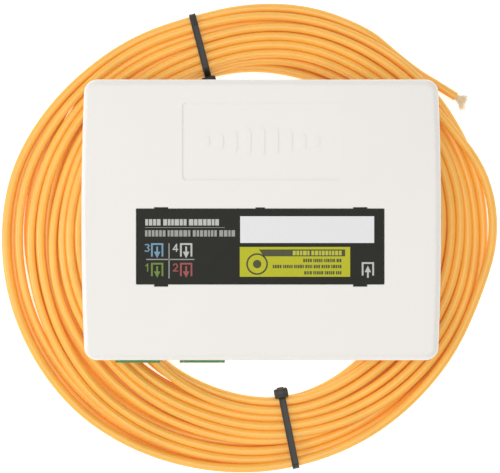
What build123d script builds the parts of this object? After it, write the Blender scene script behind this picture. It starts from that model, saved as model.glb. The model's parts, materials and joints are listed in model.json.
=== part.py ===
from build123d import *

import os
from math import cos, pi, radians, sin, sqrt, tan

# A fibre-optic patch box lying on its own coiled cable, in millimetres.
# The origin is the centre of the closed box, with its port shutters and without its
# cable. +X runs to the right across the cover, +Y towards the box's upper edge and +Z
# out of the cover. The box lies on the coil, and the coil lies on the ground.

os.makedirs("parts", exist_ok=True)

# ---- the box ----
BOX_W = 173.0  # across the bowed sides, at mid-height
BOX_H = 135.0
BOX_D = 35.0
SIDE_BOW = 1.6  # how far a side swells beyond its corners
CORNER_R = 6.5
SHUTTER_PROUD = 1.8  # how far the port shutters stand below the lower edge

REAR_Z = -BOX_D / 2
FRONT_Z = BOX_D / 2
COVER_Y = SHUTTER_PROUD / 2
TOP_Y = COVER_Y + BOX_H / 2
BOTTOM_Y = COVER_Y - BOX_H / 2

# ---- cover and rear housing ----
SKIRT_T = 2.2  # the cover's side walls
FACE_T = 2.4  # the cover's front wall
EDGE_R = 3.2  # rounding round the cover's face
PART_Z = 2.0  # the plane where cover and housing meet
FLOOR_T = 2.5
FLOOR_Z = REAR_Z + FLOOR_T
SHADOW_GAP = 0.4  # the housing stands in this far from the cover's sides
HOUSING_INNER = 2.4
LIP_OUTER = 1.2
LIP_H = 3.0
REBATE_INSET = 1.0
SCREW_SPACING = (148.0, 96.0)  # wall screws
SCREW_HOLE_R = 2.25
SCREW_PAD_R = 6.0
TONGUE = (10.0, 1.2, 17.0)  # snap tongue: width, thickness, length
TONGUE_GAP = 0.25
UPPER_TONGUE_XS = (-45.0, 45.0)
LOWER_TONGUE_XS = (15.0, 60.0)
PAST = 1.0  # how far a cutting shape runs past the face that it cuts
SUNK = 0.5  # how far a rib or boss is sunk into the wall that it stands on

# ---- front of the cover ----
PLAQUE_SIZE = (76.0, 37.0)
PLAQUE_Y = COVER_Y + 37.5
PLAQUE_DEPTH = 0.45
EMBOSS_H = 0.3
EMBOSS_PITCH = 6.6
EMBOSS_WIDE = 3.0
EMBOSS_STEPS = 4  # bars each side of the middle one
LABEL_SIZE = (118.8, 36.2)
LABEL_X = -0.5
LABEL_Y = COVER_Y - 12.8
LABEL_T = 0.8
LABEL_RECESS = 1.2
LABEL_GAP = 0.2
LABEL_TAB_XS = (-47.5, 47.9)  # label clips, measured from the label's middle
LABEL_TAB_WIDE = 6.5
PRINT_T = 0.15
STRIP_X, STRIP_Y = (-9.6, 54.6), (1.7, 14.5)  # white writing strip, from the label's middle
PANEL_PRINT_X, PANEL_PRINT_Y = (-9.8, 43.1), (-14.5, -0.2)  # yellow-green panel

# ---- ports: two columns of two ----
PORT_X = (-59.8, -28.6)
PORT_Z = (-9.0, 2.5)  # rear row, front row
FLANGE = (22.0, 1.8, 9.3)
BODY = (12.8, 27.0, 9.0)
MOUTH = (9.3, 12.7, 7.6)
SHUTTER_T = 1.4
SHUTTER_GAP = 0.2
SHUTTER_Y = BOTTOM_Y - SHUTTER_PROUD
FLANGE_Y = SHUTTER_Y + SHUTTER_T + SHUTTER_GAP
PANEL_Y = FLANGE_Y + FLANGE[1]
PANEL_T = 2.0
PANEL_X = (-74.0, -14.5)
PANEL_TOP = 8.6
PANEL_LAP = 1.5  # how far the panel reaches past each side of its bay
RAIL_XS = (-73.0, -44.2, -16.0)  # rails that hold the panel from behind
HINGE_R = 0.9
HINGE_Y = SHUTTER_Y + HINGE_R
PIN_R = 0.5
SPRING_R = 0.71
POCKET_R = 0.77
KNUCKLE_HALF = 8.8
FERRULE_R = 1.24
SLEEVE_R = (1.25, 1.6)
HOLDER_R = (1.65, 2.4)
MATE_Y = FLANGE_Y + BODY[1] / 2  # where two ferrules meet
CONNECTOR = (8.9, 24.0, 7.3)
BOOT_LENGTH = 20.0
BOOT_Y = MATE_Y + 1.0 + CONNECTOR[1]

# ---- cable ----
CABLE_R = 2.2
FIBRE_R = 0.45
CABLE_Y = -45.6
CABLE_Z = -10.5
GROMMET_X = 38.0
CLAMP_X = 66.0
CLAMP_Y = (-16.0, -8.0)
CABLE_END_Y = 0.0
CHANNEL_Y = (-51.6, -34.5)
CHANNEL_END_X = -4.0
GROMMET_R = (3.6, 4.4)
CLAMP_SCREW_XS = (CLAMP_X - 8, CLAMP_X + 8)
CLAMP_SCREW_Y = sum(CLAMP_Y) / 2
CLAMP_LOW = CABLE_Z + 1.7
CLAMP_T = 2.6
GUIDE_POST_XS = (-15.0, 52.0)
GUIDE_POST_Y = 14.0
GUIDE_POST_R = 1.5

COIL_CENTRE = (-5.6, -7.35)
COIL_OUTER = (123.75, 117.5)
COIL_INNER = (77.0, 82.0)
COIL_H = 13.0
GROUND_Z = REAR_Z - COIL_H
LYING_Z = GROUND_Z + CABLE_R

TIE_ANGLES = {"cable_tie_upper": 104.5, "cable_tie_lower": -78.6}
STRAP = (3.4, 1.1)
TIE_HEAD = (7.0, 5.4, 4.4)

# The lead leaves the channel in the housing's back, drops to the ground inside the
# coil and joins the coil's inner turns on the left.
LEAD_ROUTE = [
    (GROMMET_X, CABLE_Y, CABLE_Z),
    (26.0, CABLE_Y, CABLE_Z),
    (10.0, -43.5, -14.6),
    (-6.0, -39.0, -20.6),
    (-21.5, -33.0, -24.6),
    (-36.0, -25.0, -27.4),
    (-49.0, -15.0, LYING_Z),
    (-60.0, -3.0, LYING_Z),
    (-68.0, 10.0, LYING_Z),
    (-72.5, 24.5, LYING_Z),
    (-72.0, 38.5, LYING_Z),
]
# The free end leaves the coil's outermost turn and lies straight to its cut.
END_ROUTE = [
    (66.7, 85.2, LYING_Z),
    (79.6, 75.0, LYING_Z),
    (89.4, 69.3, LYING_Z),
    (98.6, 63.4, LYING_Z),
]


# ---- helpers ----
def block(x, y, z):
    """A box from its (low, high) pair along each axis."""
    spans = (x, y, z)
    size = [high - low for low, high in spans]
    middle = [(high + low) / 2 for low, high in spans]
    return Pos(*middle) * Box(*size)


def centred(x, y, z, size):
    """A box of this (x, z) size about x and z, between two y values."""
    wide, high = size
    return block((x - wide / 2, x + wide / 2), y, (z - high / 2, z + high / 2))


def rod(start, direction, radius, length):
    """A round bar from start along direction."""
    return extrude(Plane(start, z_dir=direction) * Circle(radius), length)


def outline(inset, z):
    """The box's outline, moved in by inset: straight ends and bowed sides."""
    half_w = BOX_W / 2 - inset
    half_h = BOX_H / 2 - inset
    corner_x = half_w - SIDE_BOW
    upper = Line((-corner_x, half_h), (corner_x, half_h))
    right = ThreePointArc((corner_x, half_h), (half_w, 0), (corner_x, -half_h))
    lower = Line((corner_x, -half_h), (-corner_x, -half_h))
    left = ThreePointArc((-corner_x, -half_h), (-half_w, 0), (-corner_x, half_h))
    face = make_face([upper, right, lower, left])
    face = fillet(face.vertices(), CORNER_R - inset)
    return Pos(0, COVER_Y, z) * face


def prism(inset, low, high):
    return extrude(outline(inset, low), high - low, dir=(0, 0, 1))


def slab(x, y, width, height, corner, low, high):
    """A plate with rounded corners, centred on x and y."""
    shape = Pos(x, y, low) * RectangleRounded(width, height, corner)
    return extrude(shape, high - low, dir=(0, 0, 1))


def side_profile(points, low, high):
    """A block with this (x, z) side profile between two y values."""
    face = make_face(Polyline(*[(x, low, z) for x, z in points], close=True))
    return extrude(face, high - low, dir=(0, 1, 0))


def tube(route, radius, bends):
    """A round tube along straight runs joined by tangent arcs."""
    path = FilletPolyline(*route, radius=bends)
    return sweep(Plane(path @ 0, z_dir=path % 0) * Circle(radius), path=path), path


def cord(name, route):
    """A cord's tube, each bend as large as its two runs allow."""
    points = [Vector(*p) for p in route]
    runs = [b - a for a, b in zip(points, points[1:])]
    bends = [
        0.45 * min(a.length, b.length) / tan(radians(a.get_angle(b)) / 2)
        for a, b in zip(runs, runs[1:])
    ]
    solid, path = tube(route, CABLE_R, bends)
    expected = pi * CABLE_R**2 * path.length
    print(name, "radii", [round(r, 1) for r in bends])
    print(name, "length", round(path.length, 1), "volume ratio", round(solid.volume / expected, 4))
    return solid


def ellipse_r(radii, angle):
    """Distance from the coil's centre to an ellipse at an angle in degrees."""
    across, along = cos(radians(angle)) / radii[0], sin(radians(angle)) / radii[1]
    return 1 / sqrt(across**2 + along**2)


def ports():
    """(number, x, z) of the four ports: 1 and 2 in the rear row, 3 and 4 in front."""
    cells = [(x, z) for z in PORT_Z for x in PORT_X]
    return [(number + 1, x, z) for number, (x, z) in enumerate(cells)]


def hinge_z(z):
    return z + FLANGE[2] / 2 - HINGE_R


# ---- housing and cover ----
def rear_housing():
    shell = prism(SHADOW_GAP, REAR_Z, PART_Z)
    shell = chamfer(shell.faces().sort_by(Axis.Z)[0].outer_wire().edges(), 1.0)
    shell -= prism(HOUSING_INNER, FLOOR_Z, PART_Z + PAST)
    lip_top = PART_Z + LIP_H
    shell += prism(LIP_OUTER, PART_Z, lip_top) - prism(HOUSING_INNER, PART_Z - PAST, lip_top + PAST)

    # bay for the ports, and the groove and rails that hold the port panel
    bay_x = (PANEL_X[0] + PANEL_LAP, PANEL_X[1] - PANEL_LAP)
    shell -= block(bay_x, (BOTTOM_Y - PAST, PANEL_Y + PAST), (FLOOR_Z, PANEL_TOP + PAST))
    shell -= block(PANEL_X, (PANEL_Y, PANEL_Y + PANEL_T), (FLOOR_Z, PANEL_TOP + PAST))
    behind = PANEL_Y + PANEL_T
    for x in RAIL_XS:
        shell += block((x - 1, x + 1), (behind, behind + 1.6), (FLOOR_Z - SUNK, PART_Z))

    # channel in the back, with its ceiling sloping down to the rear face
    low, high = CHANNEL_Y
    wall = 2.0
    start = GROMMET_X - 12
    ceiling = CABLE_Z + 5
    hump = [
        (GROMMET_X + wall, FLOOR_Z - PAST),
        (GROMMET_X + wall, ceiling + wall),
        (start, ceiling + wall),
        (CHANNEL_END_X - wall, FLOOR_Z - PAST),
    ]
    pocket = [
        (GROMMET_X, REAR_Z - PAST),
        (GROMMET_X, ceiling),
        (start, ceiling),
        (CHANNEL_END_X, REAR_Z),
        (CHANNEL_END_X, REAR_Z - PAST),
    ]
    shell += side_profile(hump, low - wall, high + wall)
    shell -= side_profile(pocket, low, high)
    shell -= rod((GROMMET_X - PAST, CABLE_Y, CABLE_Z), (1, 0, 0), GROMMET_R[0], wall + 2 * PAST)

    # wall-screw pads
    for x in (-SCREW_SPACING[0] / 2, SCREW_SPACING[0] / 2):
        for y in (COVER_Y - SCREW_SPACING[1] / 2, COVER_Y + SCREW_SPACING[1] / 2):
            shell += rod((x, y, FLOOR_Z - SUNK), (0, 0, 1), SCREW_PAD_R, 2.0)
            shell -= rod((x, y, REAR_Z - PAST), (0, 0, 1), SCREW_HOLE_R, 8.0)

    # cable cradle, clamp bosses and the fibre guide's posts
    cradle_top = CABLE_Z - 0.8
    shell += block((CLAMP_X - 4, CLAMP_X + 4), CLAMP_Y, (FLOOR_Z - SUNK, cradle_top))
    shell -= rod((CLAMP_X, CLAMP_Y[0] - PAST, CABLE_Z), (0, 1, 0), CABLE_R, 10.0)
    boss = CLAMP_LOW - FLOOR_Z + SUNK
    for x in CLAMP_SCREW_XS:
        shell += rod((x, CLAMP_SCREW_Y, FLOOR_Z - SUNK), (0, 0, 1), 3.0, boss)
        shell -= rod((x, CLAMP_SCREW_Y, FLOOR_Z), (0, 0, 1), 1.25, 8.0)
    for x in GUIDE_POST_XS:
        shell += rod((x, GUIDE_POST_Y, FLOOR_Z - SUNK), (0, 0, 1), GUIDE_POST_R, 4.5)
    return shell


def port_panel():
    """Plate that slides into the housing's groove and carries the four adapters."""
    panel = block(PANEL_X, (PANEL_Y, PANEL_Y + PANEL_T), (FLOOR_Z, PANEL_TOP))
    hole = (BODY[0] + 0.2, BODY[2] + 0.2)
    for _, x, z in ports():
        panel -= centred(x, (PANEL_Y - PAST, PANEL_Y + PANEL_T + PAST), z, hole)
    return panel


def label_tabs(gap, low, high):
    """The label's clips: two above, two below and a bump at the upper middle."""
    x, y = LABEL_X, LABEL_Y
    half = LABEL_SIZE[1] / 2
    clips = [(tab, half, 0.6, LABEL_TAB_WIDE) for tab in LABEL_TAB_XS]
    clips += [(tab, -half, 1.0, LABEL_TAB_WIDE) for tab in LABEL_TAB_XS]
    clips += [(0.0, half, 0.5, 4.4)]
    return [
        block(
            (x + at - wide / 2 - gap, x + at + wide / 2 + gap),
            (y + edge - reach - gap, y + edge + reach + gap),
            (low, high),
        )
        for at, edge, reach, wide in clips
    ]


def front_cover():
    cover = prism(0, PART_Z, FRONT_Z)
    cover = fillet(cover.faces().sort_by(Axis.Z)[-1].outer_wire().edges(), EDGE_R)
    cover -= prism(SKIRT_T, PART_Z - PAST, FRONT_Z - FACE_T)
    cover -= prism(REBATE_INSET, PART_Z - PAST, PART_Z + LIP_H + 0.3)
    clear = 0.4
    bay_x = (PANEL_X[0] - clear, PANEL_X[1] + clear)
    bay_y = (BOTTOM_Y - PAST, PANEL_Y + PANEL_T + clear)
    cover -= block(bay_x, bay_y, (PART_Z - PAST, PANEL_TOP + clear))

    # shallow plaque with a plain relief of upright bars, tallest in the middle
    floor = FRONT_Z - PLAQUE_DEPTH
    cover -= slab(0, PLAQUE_Y, *PLAQUE_SIZE, 2.0, floor, FRONT_Z + PAST)
    for step in range(-EMBOSS_STEPS, EMBOSS_STEPS + 1):
        tall = 4.0 + 9.0 * cos(radians(18 * step)) ** 2
        bar = slab(EMBOSS_PITCH * step, PLAQUE_Y, EMBOSS_WIDE, tall, 1.4, floor - 0.2, floor + EMBOSS_H)
        cover += bar

    # recess for the label
    floor = FRONT_Z - LABEL_RECESS
    wide, high = (side + 2 * LABEL_GAP for side in LABEL_SIZE)
    cover -= slab(LABEL_X, LABEL_Y, wide, high, 0.5, floor, FRONT_Z + PAST)
    for notch in label_tabs(LABEL_GAP, floor, FRONT_Z + PAST):
        cover -= notch

    # snap tongues inside the skirt
    wide, thick, long = TONGUE
    top = FRONT_Z - FACE_T + 0.2
    inset = HOUSING_INNER + TONGUE_GAP
    upper_y = (TOP_Y - inset - thick, TOP_Y - inset)
    lower_y = (BOTTOM_Y + inset, BOTTOM_Y + inset + thick)
    tongues = [(x, upper_y) for x in UPPER_TONGUE_XS] + [(x, lower_y) for x in LOWER_TONGUE_XS]
    for x, y in tongues:
        cover += block((x - wide / 2, x + wide / 2), y, (top - long, top))
    return cover


def label_plate():
    low = FRONT_Z - LABEL_RECESS
    plate = slab(LABEL_X, LABEL_Y, *LABEL_SIZE, 0.4, low, low + LABEL_T)
    for tab in label_tabs(0.0, low, low + LABEL_T):
        plate += tab
    return plate


def printed_panel(x, y):
    """A thin panel on the label, from (low, high) pairs from the label's middle."""
    low = FRONT_Z - LABEL_RECESS + LABEL_T
    return block(
        (LABEL_X + x[0], LABEL_X + x[1]),
        (LABEL_Y + y[0], LABEL_Y + y[1]),
        (low, low + PRINT_T),
    )


# ---- ports ----
def adapter(x, z):
    part = centred(x, (FLANGE_Y, PANEL_Y), z, (FLANGE[0], FLANGE[2]))
    part += centred(x, (FLANGE_Y, FLANGE_Y + BODY[1]), z, (BODY[0], BODY[2]))
    part -= centred(x, (FLANGE_Y - 1, FLANGE_Y + MOUTH[1]), z, (MOUTH[0], MOUTH[2]))
    inner_end = FLANGE_Y + BODY[1]
    part -= centred(x, (inner_end - MOUTH[1], inner_end + 1), z, (MOUTH[0], MOUTH[2]))
    part += rod((x, MATE_Y - 6.5, z), (0, 1, 0), HOLDER_R[1], 13.0)
    part -= rod((x, MATE_Y - 6.6, z), (0, 1, 0), HOLDER_R[0], 13.2)

    # groove for the shutter's knuckle, and two ears for its pin
    top = hinge_z(z)
    groove = KNUCKLE_HALF + 0.2
    part -= block((x - groove, x + groove), (FLANGE_Y - PAST, FLANGE_Y + 0.4), (top - 1.2, top + 2))
    for side in (-1, 1):
        low, high = sorted((x + side * 9.1, x + side * 11))
        part += rod((low, HINGE_Y, top), (1, 0, 0), HINGE_R, high - low)
        part += block((low, high), (HINGE_Y, FLANGE_Y + 0.2), (top - HINGE_R, top + HINGE_R))
    part -= rod((x - 12, HINGE_Y, top), (1, 0, 0), PIN_R, 24)
    return part


def adapter_clip(x, z):
    """Sprung steel band round the adapter's body, with a tang each side."""
    low = PANEL_Y + PANEL_T + 0.1
    band = centred(x, (low, low + 5), z, (BODY[0] + 0.8, BODY[2] + 0.8))
    for side in (-1, 1):
        band += centred(x + side * 7.2, (low, low + 2.5), z, (1.0, 4.0))
    return band - centred(x, (low - 1, low + 6), z, (BODY[0], BODY[2]))


def alignment_sleeve(x, z):
    sleeve = rod((x, MATE_Y - 5.7, z), (0, 1, 0), SLEEVE_R[1], 11.4)
    sleeve -= rod((x, MATE_Y - 6, z), (0, 1, 0), SLEEVE_R[0], 12.0)
    return sleeve - block((x - 0.2, x + 0.2), (MATE_Y - 6, MATE_Y + 6), (z, z + 2))


def shutter(x, z):
    top = hinge_z(z)
    back = SHUTTER_Y + SHUTTER_T
    flap = block((x - 11, x + 11), (SHUTTER_Y, back), (z - FLANGE[2] / 2, top - 1.1))
    ends = [e for e in flap.edges().filter_by(Axis.Z) if e.center().Y < SHUTTER_Y + 0.1]
    flap = chamfer(ends, 1.0)
    flap += block((x - KNUCKLE_HALF, x + KNUCKLE_HALF), (SHUTTER_Y, back), (top - 1.2, top))
    flap += rod((x - KNUCKLE_HALF, HINGE_Y, top), (1, 0, 0), HINGE_R, 2 * KNUCKLE_HALF)
    flap -= rod((x - 12, HINGE_Y, top), (1, 0, 0), PIN_R + 0.05, 24)
    # pocket for the spring, open only towards the adapter
    flap -= rod((x - 1.5, HINGE_Y, top), (1, 0, 0), POCKET_R, 3.0)
    return flap - block((x - 1.5, x + 1.5), (HINGE_Y, back + 1), (top - POCKET_R, top + POCKET_R))


def shutter_pin(x, z):
    return rod((x - 11, HINGE_Y, hinge_z(z)), (1, 0, 0), PIN_R, 22)


def shutter_spring(x, z):
    start = (x - 1.3, HINGE_Y, hinge_z(z))
    return rod(start, (1, 0, 0), SPRING_R, 2.6) - rod(start, (1, 0, 0), PIN_R + 0.06, 2.6)


def connector(x, z):
    """Plug fitted to the cable's fibre, pushed into the adapter from inside."""
    nose = MATE_Y + 1.0
    wide, long, high = CONNECTOR
    plug = centred(x, (nose, nose + long), z, (wide, high))
    plug -= rod((x, nose - 1, z), (0, 1, 0), HOLDER_R[1] + 0.2, 7.0)
    plug -= rod((x, nose, z), (0, 1, 0), FERRULE_R, 12.0)
    for rib in range(4):
        at = nose + long - 2.0 - 2.0 * rib
        groove = centred(x, (at - 0.9, at), z, (wide + 1, high + 1))
        plug -= groove - centred(x, (at - 1, at + 1), z, (wide - 0.8, high - 0.8))
    return plug


def ferrule(x, z):
    return rod((x, MATE_Y, z), (0, 1, 0), FERRULE_R, 13.0)


def boot(x, z):
    base = Plane((x, BOOT_Y, z), z_dir=(0, 1, 0)) * Circle(2.6)
    tip = Plane((x, BOOT_Y + BOOT_LENGTH, z), z_dir=(0, 1, 0)) * Circle(1.1)
    return loft([base, tip])


def fibre(number, x, z):
    """From the boot up past the guide ring, across, and down to the cable's end."""
    outer = x == PORT_X[0]
    front = z == PORT_Z[1]
    top = 55.0 if outer else 51.5
    across_z = -8.0 if front else -11.0
    down_x = CLAMP_X + (0.6 if outer else -0.6)
    start = BOOT_Y + BOOT_LENGTH
    route = [
        (x, start, z),
        (x, start + 6, z),
        (x, top, across_z),
        (down_x, top, across_z),
        (down_x, CABLE_END_Y, CABLE_Z + (0.6 if front else -0.6)),
    ]
    solid, path = tube(route, FIBRE_R, 25.0)
    print("fibre", number, "length", round(path.length, 1))
    return solid


# ---- cable and its fittings inside ----
def fibre_guide():
    left, right, low, high = -27.4, 64.2, 6.0, 50.5
    corner = 24.0
    ring = ring_face(left, right, low, high, corner)
    ring -= ring_face(left + 1.5, right - 1.5, low + 1.5, high - 1.5, corner - 1.5)
    ring = extrude(Pos(0, 0, FLOOR_Z) * ring, 10.0, dir=(0, 0, 1))
    tab_low, tab_high = FLOOR_Z + 9, FLOOR_Z + 10
    ring += block((8, 28), (high - 1, high + 7), (tab_low, tab_high))
    ring += block((right - 1, right + 5), (16, 28), (tab_low, tab_high))
    for x in GUIDE_POST_XS:
        ring += block((x - 4, x + 4), (low, low + 12), (FLOOR_Z, FLOOR_Z + 1.5))
        ring -= rod((x, GUIDE_POST_Y, FLOOR_Z - PAST), (0, 0, 1), GUIDE_POST_R + 0.05, 4)
    return ring


def ring_face(left, right, low, high, corner):
    """A rectangle whose two upper corners are rounded."""
    face = Pos((left + right) / 2, (low + high) / 2) * Rectangle(right - left, high - low)
    return fillet(face.vertices().sort_by(Axis.Y)[-2:], corner)


def splice_holder():
    comb = block((4, 34), (20, 34), (FLOOR_Z, FLOOR_Z + 6))
    for slot in range(4):
        at = 22.6 + 2.9 * slot
        comb -= rod((3, at, FLOOR_Z + 4.4), (1, 0, 0), 1.2, 32)
        comb -= block((3, 35), (at - 0.7, at + 0.7), (FLOOR_Z + 4.4, FLOOR_Z + 7))
    return comb


def cable_clamp():
    left, right = CLAMP_SCREW_XS
    saddle = block((left - 3.5, right + 3.5), CLAMP_Y, (CLAMP_LOW, CLAMP_LOW + CLAMP_T))
    saddle = fillet(saddle.edges().filter_by(Axis.Z), 1.5)
    saddle -= rod((CLAMP_X, CLAMP_Y[0] - PAST, CABLE_Z), (0, 1, 0), CABLE_R, 10.0)
    for x in CLAMP_SCREW_XS:
        saddle -= rod((x, CLAMP_SCREW_Y, CLAMP_LOW - PAST), (0, 0, 1), 1.6, 5)
    return saddle


def clamp_screw(x):
    """Pan-head screw with a cross slot."""
    low = CLAMP_LOW + CLAMP_T
    at = CLAMP_SCREW_Y
    slot, reach = 0.3, 2.0
    slot_z = (low + 0.9, low + 2)
    screw = rod((x, at, low), (0, 0, 1), 2.8, 1.8)
    screw -= block((x - reach, x + reach), (at - slot, at + slot), slot_z)
    screw -= block((x - slot, x + slot), (at - reach, at + reach), slot_z)
    return screw + rod((x, at, low - 7), (0, 0, 1), 1.25, 7.2)


def cable_grommet():
    """Ring in the channel's end wall, with a collar inside the box."""
    neck, collar = GROMMET_R
    ring = rod((GROMMET_X, CABLE_Y, CABLE_Z), (1, 0, 0), neck, 3.0)
    ring += rod((GROMMET_X + 2, CABLE_Y, CABLE_Z), (1, 0, 0), collar, 1.2)
    return ring - rod((GROMMET_X - PAST, CABLE_Y, CABLE_Z), (1, 0, 0), CABLE_R, 6.0)


def cable_inside():
    route = [
        (GROMMET_X, CABLE_Y, CABLE_Z),
        (CLAMP_X, CABLE_Y, CABLE_Z),
        (CLAMP_X, CABLE_END_Y, CABLE_Z),
    ]
    return tube(route, CABLE_R, 14.0)[0]


# ---- coil and ties ----
def coil_face(radii, z):
    return Pos(COIL_CENTRE[0], COIL_CENTRE[1], z) * Ellipse(*radii)


def coil_ring():
    ring = extrude(coil_face(COIL_OUTER, GROUND_Z), COIL_H, dir=(0, 0, 1))
    ring -= extrude(coil_face(COIL_INNER, GROUND_Z - 1), COIL_H + 2, dir=(0, 0, 1))
    rims = [e for e in ring.edges() if e.geom_type == GeomType.ELLIPSE]
    return fillet(rims, 3.5)


def cable_tie(angle):
    """Strap round the coil's section, flush with it, with its head on the inside."""
    inner, outer = ellipse_r(COIL_INNER, angle), ellipse_r(COIL_OUTER, angle)
    radial = (cos(radians(angle)), sin(radians(angle)), 0)
    tangent = (sin(radians(angle)), -cos(radians(angle)), 0)
    plane = Plane((*COIL_CENTRE, 0), x_dir=radial, z_dir=tangent)
    middle = Pos((inner + outer) / 2, REAR_Z - COIL_H / 2)
    wide, thick = STRAP
    loop = middle * RectangleRounded(outer - inner, COIL_H, 3.5)
    loop -= middle * RectangleRounded(outer - inner - 2 * thick, COIL_H - 2 * thick, 2.4)
    strap = extrude(plane * loop, wide / 2, both=True)
    across, along, tall = TIE_HEAD
    head = Pos(inner + 0.4 - along / 2, REAR_Z - 0.1 - tall / 2) * Rectangle(along, tall)
    head = extrude(plane * head, across / 2, both=True)
    return strap + fillet(head.edges(), 0.6)


def frayed_yarn():
    """Strength yarn fanned out from the cut end."""
    x, y, z = END_ROUTE[-1]
    tips = [(5.5, -0.2), (4.9, -4.2), (3.0, -7.0)]
    root = [(-0.7, -1.9), (1.0, 1.0)]
    face = make_face(Polyline(*[(x + dx, y + dy) for dx, dy in (*root, *tips)], close=True))
    return extrude(Pos(0, 0, z - 0.7) * face, 1.4, dir=(0, 0, 1))


def group(make):
    """The same small piece at every port, as separate solids in one node."""
    return Compound(children=[make(x, z) for _, x, z in ports()])


nodes = {
    "rear_housing": rear_housing(),
    "front_cover": front_cover(),
    "label_plate": label_plate(),
    "writing_strip": printed_panel(STRIP_X, STRIP_Y),
    "notice_panel": printed_panel(PANEL_PRINT_X, PANEL_PRINT_Y),
    "port_panel": port_panel(),
    "adapter_clips": group(adapter_clip),
    "shutter_pins": group(shutter_pin),
    "shutter_springs": group(shutter_spring),
    "fibre_guide": fibre_guide(),
    "splice_holder": splice_holder(),
    "cable_clamp": cable_clamp(),
    "clamp_screws": Compound(children=[clamp_screw(x) for x in CLAMP_SCREW_XS]),
    "cable_grommet": cable_grommet(),
    "cable_inside": cable_inside(),
    "cable_lead": cord("cable_lead", LEAD_ROUTE),
    "cable_coil": coil_ring(),
    "cable_free_end": cord("cable_free_end", END_ROUTE),
    "frayed_yarn": frayed_yarn(),
}
for name, angle in TIE_ANGLES.items():
    nodes[name] = cable_tie(angle)
for number, x, z in ports():
    nodes[f"adapter_{number}"] = adapter(x, z)
    nodes[f"alignment_sleeve_{number}"] = alignment_sleeve(x, z)
    nodes[f"port_shutter_{number}"] = shutter(x, z)
    nodes[f"connector_{number}"] = connector(x, z)
    nodes[f"ferrule_{number}"] = ferrule(x, z)
    nodes[f"connector_boot_{number}"] = boot(x, z)
    nodes[f"fibre_{number}"] = fibre(number, x, z)

for name, shape in nodes.items():
    export_step(shape, f"parts/{name}.step")
print(len(nodes), "nodes")
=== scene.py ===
import json
import math
import random

import bmesh
import bpy
import numpy as np
from mathutils import Matrix, Vector


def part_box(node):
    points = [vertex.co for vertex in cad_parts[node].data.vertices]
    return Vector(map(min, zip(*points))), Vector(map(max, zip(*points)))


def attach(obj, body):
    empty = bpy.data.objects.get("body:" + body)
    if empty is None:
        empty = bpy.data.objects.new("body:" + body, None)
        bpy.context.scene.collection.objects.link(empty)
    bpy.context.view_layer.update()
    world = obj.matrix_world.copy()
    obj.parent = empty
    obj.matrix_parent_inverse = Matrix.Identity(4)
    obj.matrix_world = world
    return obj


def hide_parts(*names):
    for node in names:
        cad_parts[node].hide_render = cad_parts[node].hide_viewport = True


# A fibre-optic patch box lying on its own coiled cable. Lengths are in millimetres until
# they reach Blender, which works in metres. The frame is the part's own: +X to the right
# across the cover, +Y to the box's upper edge, +Z out of the cover.

MM = 0.001
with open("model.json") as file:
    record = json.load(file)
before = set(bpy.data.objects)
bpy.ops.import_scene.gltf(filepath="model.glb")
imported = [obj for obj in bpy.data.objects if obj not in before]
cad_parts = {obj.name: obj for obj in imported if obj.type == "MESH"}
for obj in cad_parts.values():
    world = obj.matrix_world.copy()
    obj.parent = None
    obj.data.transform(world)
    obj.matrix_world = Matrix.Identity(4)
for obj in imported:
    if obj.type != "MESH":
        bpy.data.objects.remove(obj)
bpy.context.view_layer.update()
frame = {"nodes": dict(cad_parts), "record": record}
nodes = frame["nodes"]
record = frame["record"]


def corners(node):
    """A CAD node's lowest and highest corners, in millimetres."""
    return [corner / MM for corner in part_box(node)]


# ---- camera ----
EYE = (-5.4, -7.1, 858.5)
LENS = 126.4
SENSOR = 36.0
CLIP_M = (0.05, 10.0)


def make_camera():
    """Looks straight down on the cover."""
    data = bpy.data.cameras.new("camera")
    data.sensor_width = SENSOR
    data.lens = LENS
    data.clip_start, data.clip_end = CLIP_M
    camera = bpy.data.objects.new("camera", data)
    camera.location = Vector(EYE) * MM
    bpy.context.scene.collection.objects.link(camera)
    bpy.context.scene.camera = camera


make_camera()

# ---- cable: its facts ----
CABLE_R = 2.2
GROUND_Z = corners("cable_coil")[0].z
COIL_TOP_Z = corners("cable_coil")[1].z
LYING_Z = GROUND_Z + CABLE_R
COIL_CENTRE = (-5.6, -7.35)
COIL_INNER = (77.0, 82.0)
WITHIN_COIL = 60.0  # the turns all lie farther out than this, and the lead's start doesn't
CORD_STEPS, CORD_SIDES = 6, 5

# The stretches given point by point, as the CAD part has them.
CABLE_Y, CABLE_Z, GROMMET_X = -45.6, -10.5, 38.0
LEAD_ROUTE = [
    (GROMMET_X, CABLE_Y, CABLE_Z),
    (26.0, CABLE_Y, CABLE_Z),
    (10.0, -43.5, -14.6),
    (-6.0, -39.0, -20.6),
    (-21.5, -33.0, -24.6),
    (-36.0, -25.0, -27.4),
    (-49.0, -15.0, LYING_Z),
    (-60.0, -3.0, LYING_Z),
    (-68.0, 10.0, LYING_Z),
    (-72.5, 24.5, LYING_Z),
    (-72.0, 38.5, LYING_Z),
]
END_ROUTE = [
    (66.7, 85.2, LYING_Z),
    (79.6, 75.0, LYING_Z),
    (89.4, 69.3, LYING_Z),
    (98.6, 63.4, LYING_Z),
]

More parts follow.
